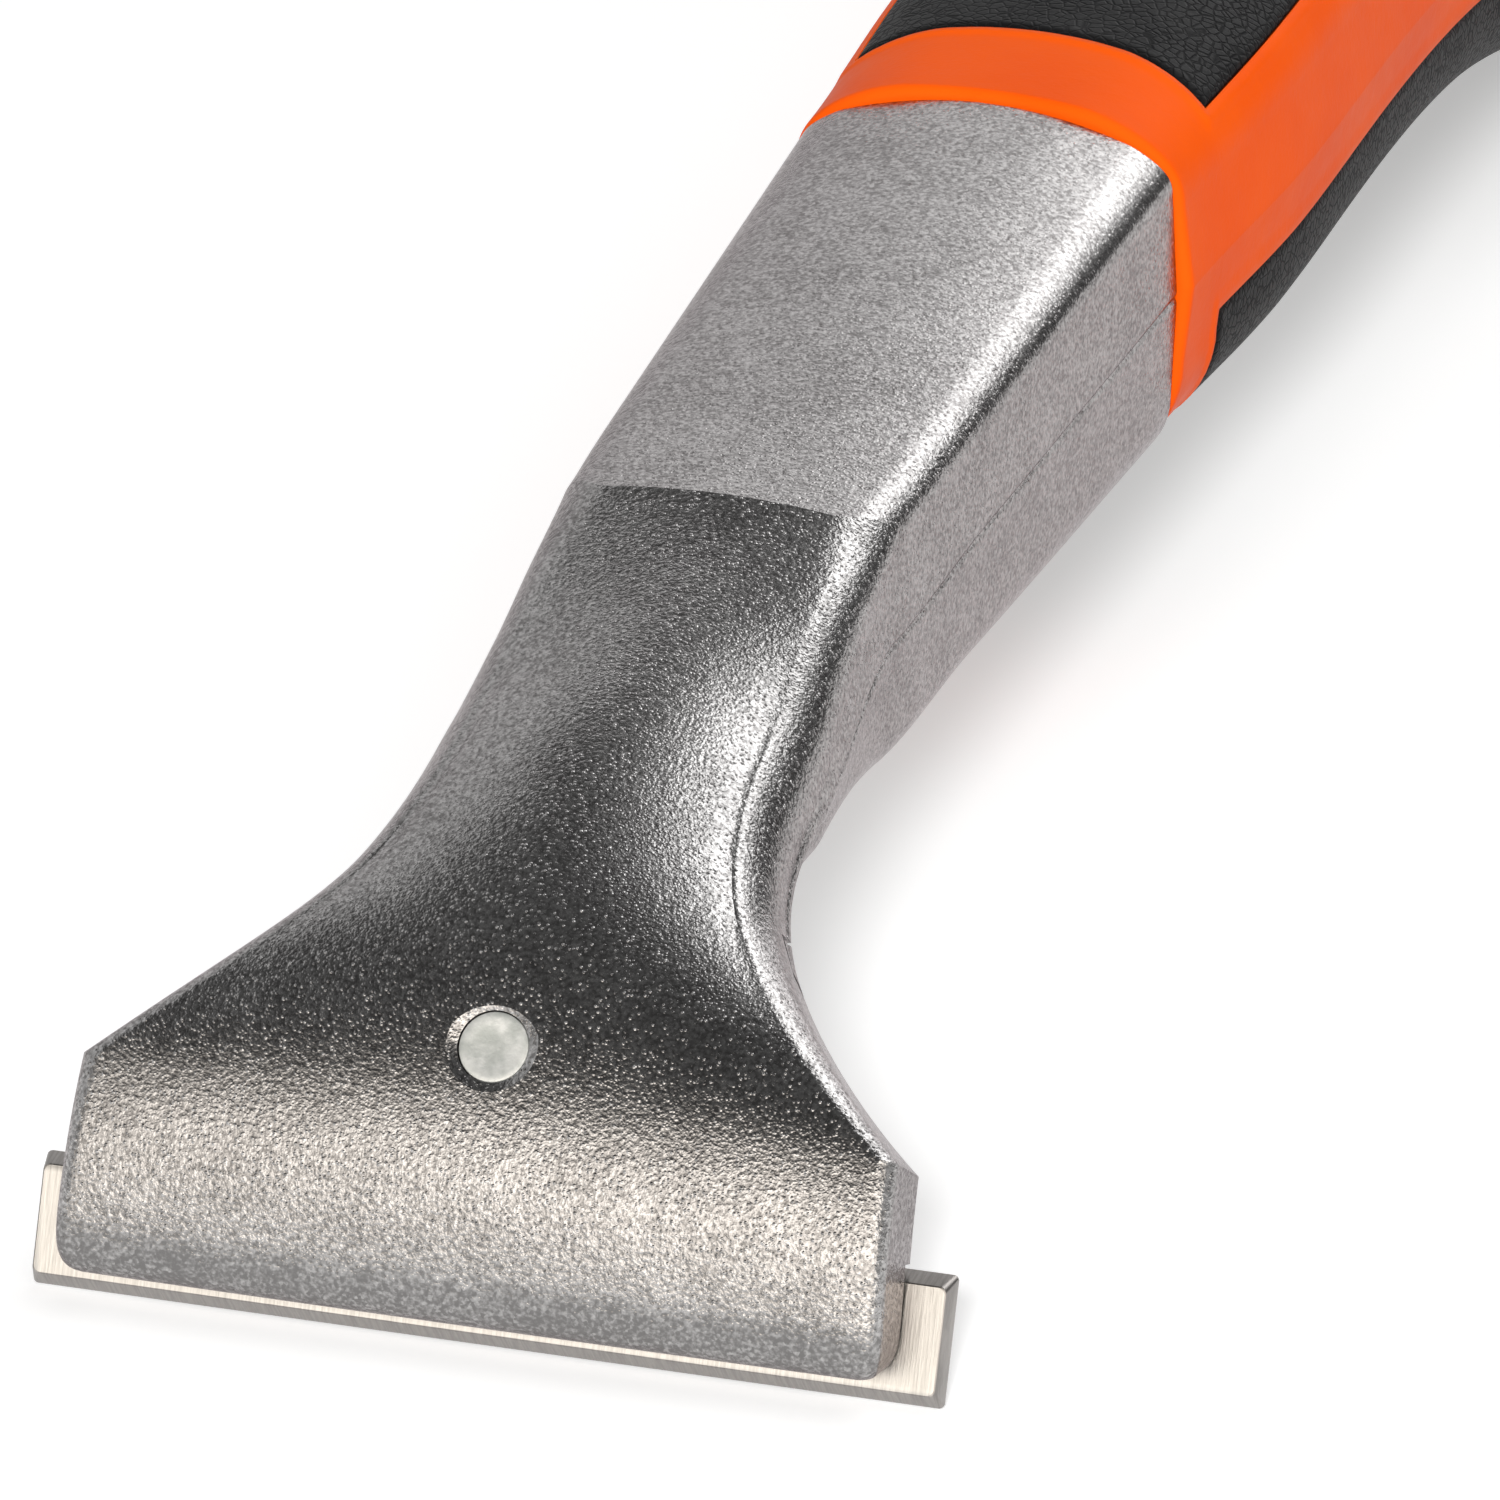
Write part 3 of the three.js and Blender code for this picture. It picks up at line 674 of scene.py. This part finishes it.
bed_depth, bed_rise = 2.1, 1.5
carve(core, "DIFFERENCE", slab("upper_bed", upper_patch(0.0)[0], bed_rise, -bed_depth))
carve(core, "DIFFERENCE", slab("lower_bed", lower_patch(0.0)[0], bed_rise, -bed_depth))

hang_back = 135.0
hang_half, _, hang_middle = handle_sizes(np.array(hang_back))


def cross_bar(radii, places):
    """Solid of revolution across the handle, through the hang hole: radii at places along x."""
    angle = np.linspace(0, 2 * math.pi, 96, endpoint=False)
    radii = np.array(radii)[:, None]
    y = handle_front + hang_back + radii * np.cos(angle)
    x = np.array(places, float)[:, None] + 0 * y
    return solid("cross_bar", np.stack([x, y, hang_middle + radii * np.sin(angle)], axis=-1))


rim_depth = 1.5
rim_at = float(hang_half) - rim_depth
rim_radii = [7.5, 7.5, 7.9, 7.9]
rim_places = [rim_at, rim_at + 0.6, rim_at + 1.4, far_away]
carve(core, "DIFFERENCE", cross_bar(rim_radii, rim_places))
carve(core, "DIFFERENCE", cross_bar(rim_radii[::-1], [-place for place in rim_places[::-1]]))
hole_radius, hole_rounding = 4.0, 0.8
hole_mouth = [hole_radius + hole_rounding]
hole_turn = np.linspace(0, math.pi / 2, 7)
hole_flare = hole_radius + hole_rounding * (1 - np.cos(hole_turn))
hole_place = rim_at - hole_rounding + hole_rounding * np.sin(hole_turn)
carve(core, "DIFFERENCE", cross_bar(
    np.concatenate([hole_mouth, hole_flare[::-1], hole_flare, hole_mouth]),
    np.concatenate([[-far_away], -hole_place[::-1], hole_place, [far_away]]),
))
tang_socket = tang_rings(np.array([collar_at - 4, collar_at + tang_length + 1]), 0.3)
carve(core, "DIFFERENCE", solid("socket", tang_socket))


def orange_plastic(shade, place):
    """Satin orange moulding: fine spark-eroded grain, and a faint flow mottle in the colour."""
    mottle = grain(shade, place, 9.0, 3.0).smooth(0.3, 0.7)
    height = grain(shade, place, 0.25) + grain(shade, place, 0.7)
    return {
        "Base Color": mottle.tint((0.94, 0.1, 0.003), (0.98, 0.114, 0.004)),
        "Roughness": 0.36 + 0.12 * grain(shade, place, 1.5),
        "Specular IOR Level": 0.03,
        "Normal": shade.node("Bump", {}, {"Strength": 0.16, "Distance": 0.0001, "Height": height}),
    }


dress(core, material_of("orange_plastic", orange_plastic), 28)
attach(core, "tool")
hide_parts("handle_core")

# Grips: soft black rubber, moulded into the beds of the core. The upper one is a panel with a hollow front
# edge and leathery grain, and the lower one wraps the belly. Each swells a little above the core.
pad_gap = 0.05
pad_sunk, pad_proud, pad_rounding = -0.3, 0.12, 0.75


def grip(name, points, back):
    """Pad that fills its bed to a hair above the floor. Its face comes up by a quarter round from below the
    core's edge to a little above it."""
    inset = np.maximum(bed_inset(points, back), 0)
    swell = np.sqrt(1 - (1 - passed(inset, 0, pad_rounding)) ** 2)
    return slab(name, points, mix(pad_sunk, pad_proud, swell), pad_gap - bed_depth)


upper_grip = grip("upper_grip", *upper_patch(pad_gap))
lower_grip = grip("lower_grip", *lower_patch(pad_gap))


def black_rubber(shade, place):
    """Soft black rubber with a leathery grain: rounded cells between fine creases."""
    cells = shade.node("TexVoronoi", {"feature": "DISTANCE_TO_EDGE"}, {"Vector": place, "Scale": 1700.0})
    pebble = cells.smooth(0.0, 0.16)
    height = pebble + 0.5 * grain(shade, place, 0.3)
    dust = grain(shade, place, 4.0, 4.0).smooth(0.35, 0.75)
    return {
        "Base Color": dust.tint((0.004, 0.004, 0.0045), (0.009, 0.009, 0.0095)),
        "Roughness": 0.62 - 0.14 * pebble,
        "Specular IOR Level": 0.08,
        "Normal": shade.node("Bump", {}, {"Strength": 0.5, "Distance": 0.0001, "Height": height}),
    }


rubber = material_of("black_rubber", black_rubber)
for piece, node in ((upper_grip, "grip_top"), (lower_grip, "grip_bottom")):
    dress(piece, rubber, 50)
    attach(piece, "tool")
    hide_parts(node)

# Blade: sintered carbide, ground flat, with a bevel round all four sides of its face. It is loose in the
# clamp, so it can be turned round when its first edge is blunt.
blade_half = 25.0


def blade_ring(end_inset, long_inset, corner, out):
    """Rounded rectangle on the blade: its outline drawn in at the ends and along the edges, at a distance
    out of its back."""
    angle = np.linspace(0, 2 * math.pi, 64, endpoint=False) + math.pi / 64
    x = np.sign(np.cos(angle)) * (blade_half - end_inset - corner) + corner * np.cos(angle)
    up = np.sign(np.sin(angle)) * (blade_width / 2 - long_inset - corner) + corner * np.sin(angle)
    side_view = on_blade(0, out) + blade_up * (blade_width / 2 + up)[:, None]
    return np.concatenate([x[:, None], side_view], axis=-1)


blade = solid("blade", np.array([
    blade_ring(0.04, 0.06, 0.25, 0.0),
    blade_ring(0.0, 0.0, 0.3, 0.05),
    blade_ring(0.0, 0.0, 0.3, 0.2),
    blade_ring(0.22, 0.56, 0.4, 1.3),
    blade_ring(0.25, 0.6, 0.4, 1.37),
    blade_ring(0.31, 0.67, 0.4, 1.4),
]))


def ground_carbide(shade, place):
    """Ground carbide: scratches along the blade's short side on the pale flat face, and bevels round it
    painted
    darker: painted shade for the shadowed floor that they mirror."""
    stretched = shade.node("Mapping", {}, {"Vector": place, "Scale": (1.0, 0.05, 0.05)})
    streaky = {"Vector": stretched, "Scale": 7000.0, "Detail": 4.0, "Roughness": 0.7}
    scratches = shade.node("TexNoise", {}, streaky)
    flat_out = (0.0, float(blade_out[0]), float(blade_out[1]))
    normal = shade.node("NewGeometry", output="True Normal")
    facing = shade.node("VectorMath", {"operation": "DOT_PRODUCT"}, {0: normal, 1: flat_out}, output="Value")
    pale = scratches.smooth(0.3, 0.7).tint((0.46, 0.446, 0.42), (0.63, 0.612, 0.58))
    # The bevels' darker colour is painted shade, for the shadowed floor that they mirror.
    bevel_painted_shade = scratches.smooth(0.3, 0.7).tint((0.25, 0.235, 0.225), (0.36, 0.34, 0.325))
    by_side = {0: facing.smooth(0.93, 0.98), 6: bevel_painted_shade, 7: pale}
    return {
        "Base Color": shade.node("Mix", {"data_type": "RGBA"}, by_side, output=2),
        "Metallic": 1.0,
        "Roughness": 0.26 + 0.16 * scratches,
        "Normal": shade.node("Bump", {}, {"Strength": 0.4, "Distance": 0.00004, "Height": scratches}),
    }


dress(blade, material_of("ground_carbide", ground_carbide), 20)
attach(blade, "blade")
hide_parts("carbide_blade")

# Jaw: the lower half of the clamp, cast with the head's own outline. Its lip bears on the blade and its heel
# on the plate, and a round boss below carries the washer.
bearing_gap, hollow_gap = 0.3, 0.9
hollow_start, hollow_end = 8.3, 19.7
heel_jaw = underside(heel_up - bearing_gap, bearing_gap)
jaw_space = [on_blade(1, -bearing_gap), on_blade(6, -bearing_gap), underside(hollow_start, hollow_gap),
             underside(hollow_end, hollow_gap), underside(hollow_end, bearing_gap), heel_jaw,
             heel_jaw - far_away * screw_heading, on_blade(-far_away, -far_away), on_blade(4.6, -5.8)]
boss_radii = [4.9, 5.2, 5.2]
boss_places = [-14.1, -13.8, -10.4]
jaw = solid("jaw", envelope)
carve(jaw, "INTERSECT", prism(jaw_space, nose_half + 1))
carve(jaw, "UNION", turned("boss", boss_radii, boss_places))
carve(jaw, "DIFFERENCE", turned("bore", [bore_radius, bore_radius], [-far_away, far_away]))
dress(jaw, aluminium, 20)
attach(jaw, "clamp")
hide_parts("clamp_jaw")

# Washer and screw: zinc-plated steel. The socket head draws the jaw up from below, and the screw's end shows
# in the plate, a little below its face.
washer_radius, washer_half_width = 3.4, 1.1
washer_place, washer_half_thickness = -14.8, 0.4
squareness = 0.25
angle = np.linspace(0, 2 * math.pi, 96, endpoint=False)
washer_turn = np.linspace(0, 2 * math.pi, 33)[:-1]
outwards = np.sign(np.cos(washer_turn)) * np.abs(np.cos(washer_turn)) ** squareness
forwards = np.sign(np.sin(washer_turn)) * np.abs(np.sin(washer_turn)) ** squareness
ring_radius = (washer_radius + washer_half_width * outwards)[:, None]
ring_place = (washer_place + washer_half_thickness * forwards)[:, None, None]
washer_x = ring_radius * np.cos(angle)
washer_side = screw_front + screw_heading * ring_place + screw_side * (ring_radius * np.sin(angle))[..., None]
washer = solid("washer", np.concatenate([washer_x[..., None], washer_side], axis=-1), closed=True)

# The screw's radii and places run from the floor of its hexagon socket round the head to its end. The thread
# is a blunt helix that fades out at both of its ends.
socket_half = 1.5
hexagon = socket_half / np.cos((angle + math.pi / 6) % (math.pi / 3) - math.pi / 6)
thread_start, thread_end, thread_pitch = -14.2, -1.5, 0.7
thread_place = np.linspace(thread_start, thread_end, 210)
thread_phase = (thread_place[:, None] / thread_pitch - angle / (2 * math.pi)) % 1
thread_fade = ease(thread_place, thread_start, -13.0) * (1 - ease(thread_place, -2.2, thread_end))
thread_depth = 0.36 * np.clip(2 * np.abs(thread_phase - 0.5) - 0.12, 0, 0.8)
thread_radius = 2.0 - thread_depth * thread_fade[:, None]
head_radii = [0.3, 1.4 * hexagon / hexagon.max(), hexagon, hexagon, hexagon + 0.2,
              3.0, 3.3, 3.5, 3.5, 3.4, 2.2, 2.0]
head_places = [-17.7, -17.6, -17.5, -19.3, -19.5, -19.5, -19.4, -19.1, -15.6, -15.5, -15.5, -15.3]
end_radii = [1.97, 1.9, 1.9, 1.86, 1.78, 1.55, 1.2, 0.8, 0.35]
end_places = [-1.42, -1.25, -0.53, -0.45, -0.42, -0.42, -0.46, -0.51, -0.53]
screw_radii = head_radii + list(thread_radius) + end_radii
screw_places = head_places + list(thread_place) + end_places
screw = turned("screw", screw_radii, screw_places, len(angle))


def plated_steel(shade, place):
    """Matte zinc plating: a pale grey-green metal with a fine etched grain and faint stains."""
    stain = grain(shade, place, 1.2, 4.0).smooth(0.35, 0.75)
    etched = grain(shade, place, 0.2)
    return {
        "Base Color": stain.tint((0.48, 0.5, 0.47), (0.78, 0.78, 0.75)),
        "Metallic": 0.6,
        "Roughness": 0.42 + 0.14 * grain(shade, place, 0.4),
        "Normal": shade.node("Bump", {}, {"Strength": 0.3, "Distance": 0.00006, "Height": etched}),
    }


plated = material_of("plated_steel", plated_steel)
for piece, body, node in ((washer, "clamp", "screw_washer"), (screw, "screw", "clamp_screw")):
    dress(piece, plated, 30)
    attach(piece, body)
    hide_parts(node)

# Studio: a wide pale floor that is seen from above only, a small key lamp beside the camera, a wide weak lamp
# above on the right, and pale panels round a dark ceiling, which the metal shows. The panels and the floor's
# own glow are for the camera and for reflections: matt surfaces get less of them.


def seen_directly(shade):
    """1 for rays from the camera, from a reflection or through a clear surface, and 0 for diffuse rays."""
    seen = shade.node("LightPath", output="Is Camera Ray") + shade.node("LightPath", output="Is Glossy Ray")
    return seen + shade.node("LightPath", output="Is Transmission Ray")


reach, table_level = 80.0, -0.0002
floor_corners = [(-reach, -reach), (reach, -reach), (reach, reach), (-reach, reach)]
floor_mesh = bpy.data.meshes.new("floor")
floor_mesh.from_pydata([(x, y, table_level) for x, y in floor_corners], [], [(0, 1, 2, 3)])
floor = bpy.data.objects.new("floor", floor_mesh)
bpy.context.scene.collection.objects.link(floor)
floor_material = bpy.data.materials.new("pale_floor")
floor_material.use_nodes = True
floor_material.node_tree.nodes.clear()
shade = Shade(floor_material.node_tree)
pale = shade.node("BsdfDiffuse", {}, {"Color": (0.8, 0.8, 0.8, 1)})
glow = shade.node("Emission", {}, {"Color": (1, 1, 1, 1), "Strength": seen_directly(shade) * 0.4})
lit = shade.node("AddShader", {}, {0: pale, 1: glow})
below = shade.node("NewGeometry", output="Backfacing")
clear = shade.node("BsdfTransparent")
one_sided = shade.node("MixShader", {}, {0: below, 1: lit, 2: clear})
shade.node("OutputMaterial", {}, {"Surface": one_sided})
floor_mesh.materials.append(floor_material)


def between(value, start, end, blur):
    """1 while a value lies between two limits, falling to 0 over a blur at each."""
    return value.smooth(start - blur, start + blur) * (1 - value.smooth(end - blur, end + blur))


# Panels of the world, in degrees: elevation, azimuth to the right of straight behind the tool, and facing to
# the right of straight in front of it. The front panel is warm, the others are white.
world = bpy.data.worlds.new("studio")
world.use_nodes = True
world.node_tree.nodes.clear()
bpy.context.scene.world = world
shade = Shade(world.node_tree)
ray = shade.node("TexCoord", output="Generated")
ray_x, ray_y, ray_z = (shade.node("SeparateXYZ", {}, {0: ray}, output=i) for i in range(3))
elevation = shade.node("Math", {"operation": "ARCSINE"}, {0: ray_z}) * math.degrees(1)
azimuth = shade.math("ARCTAN2", ray_x, ray_y) * math.degrees(1)
facing = shade.math("ARCTAN2", ray_x, ray_y * -1) * math.degrees(1)
back_level = 0.75 + 0.3 * azimuth.smooth(-32, -14) + 1.0 * azimuth.smooth(-14, 2)
back_panel = between(elevation, -4, 43, 3) * between(azimuth, -42, 19, 6) * back_level
right_box = between(elevation, 28, 66, 6) * between(azimuth, 13, 50, 7)
upper_glow = between(elevation, 58, 76, 8) * between(azimuth, -18, 38, 12)
left_panel = between(elevation, -20, 48, 8) * between(azimuth, -120, -44, 8)
right_panel = between(elevation, -20, 45, 12) * between(azimuth, 66, 125, 12)
ceiling_level = 0.12
level = ceiling_level + back_panel + 2.9 * right_box + 0.3 * upper_glow
level = level + 0.65 * left_panel + 0.4 * right_panel
front_level = 1.6 * (1 - elevation.smooth(24, 46)) + 1.5 * between(elevation, 7, 28, 6)
front_side = (0.45 + 0.55 * facing.smooth(-25, -11)) * facing.smooth(-60, -35)
front_panel = front_level * front_side * (1 - facing.smooth(50, 75))
sky = shade.node("CombineColor", {}, {
    0: level + front_panel,
    1: level + 0.93 * front_panel,
    2: level + 0.85 * front_panel,
})
strength = 0.4 + 0.6 * seen_directly(shade)
shade.node("OutputWorld", {}, {"Surface": shade.node("Background", {}, {"Color": sky, "Strength": strength})})


def aimed(place, heading, top):
    """Place and rotation of a lamp or camera that looks along a heading, with another direction upright."""
    depth = -heading / np.linalg.norm(heading)
    side = np.cross(top, depth)
    side = side / np.linalg.norm(side)
    matrix = np.eye(4)
    matrix[:3] = np.stack([side, np.cross(depth, side), depth, place], axis=1)
    return Matrix(matrix.tolist())


# Each lamp: name, watts, width, place.
lamps = (
    ("key_lamp", 19.0, 0.2, (0.325, -1.404, 0.69)),
    ("fill_lamp", 10.0, 1.6, (0.7, -0.4, 1.7)),
)
lamp_target = np.array([0, -0.05, 0.01])
for name, watts, width, place in lamps:
    lamp = bpy.data.objects.new(name, bpy.data.lights.new(name, "AREA"))
    bpy.context.scene.collection.objects.link(lamp)
    lamp.data.shape = "DISK"
    lamp.data.size = width
    lamp.data.energy = watts
    lamp.matrix_world = aimed(np.array(place), lamp_target - np.array(place), np.array([0, 1, 0]))
    lamp.visible_glossy = False

# Camera: in front of the blade, to the right and above, with the long lens that the photograph fits. Its aim
# is in pixels of the photograph: the middle of the blade's edge lies left of and below the image's middle.
eye_azimuth, eye_elevation = math.radians(18.33), math.radians(25.0)
eye_distance = 1.5
image_width = 1500
sensor_width = 36.0
focal_pixels = 28770.0
aim_right, aim_up = 262.6, 595.1
away = np.array([math.sin(eye_azimuth) * math.cos(eye_elevation),
                 -math.cos(eye_azimuth) * math.cos(eye_elevation), math.sin(eye_elevation)])
right = np.array([math.cos(eye_azimuth), math.sin(eye_azimuth), 0])
upright = np.cross(away, right)
aim = -away * focal_pixels + right * aim_right + upright * aim_up
camera = bpy.data.objects.new("camera", bpy.data.cameras.new("camera"))
bpy.context.scene.collection.objects.link(camera)
camera.data.sensor_width = sensor_width
camera.data.lens = focal_pixels * sensor_width / image_width
camera.data.clip_end = 200.0
camera.matrix_world = aimed(np.array([0, edge_at * 0.001, 0]) + eye_distance * away, aim, upright)
bpy.context.scene.camera = camera
bpy.context.scene.view_settings.view_transform = "Standard"
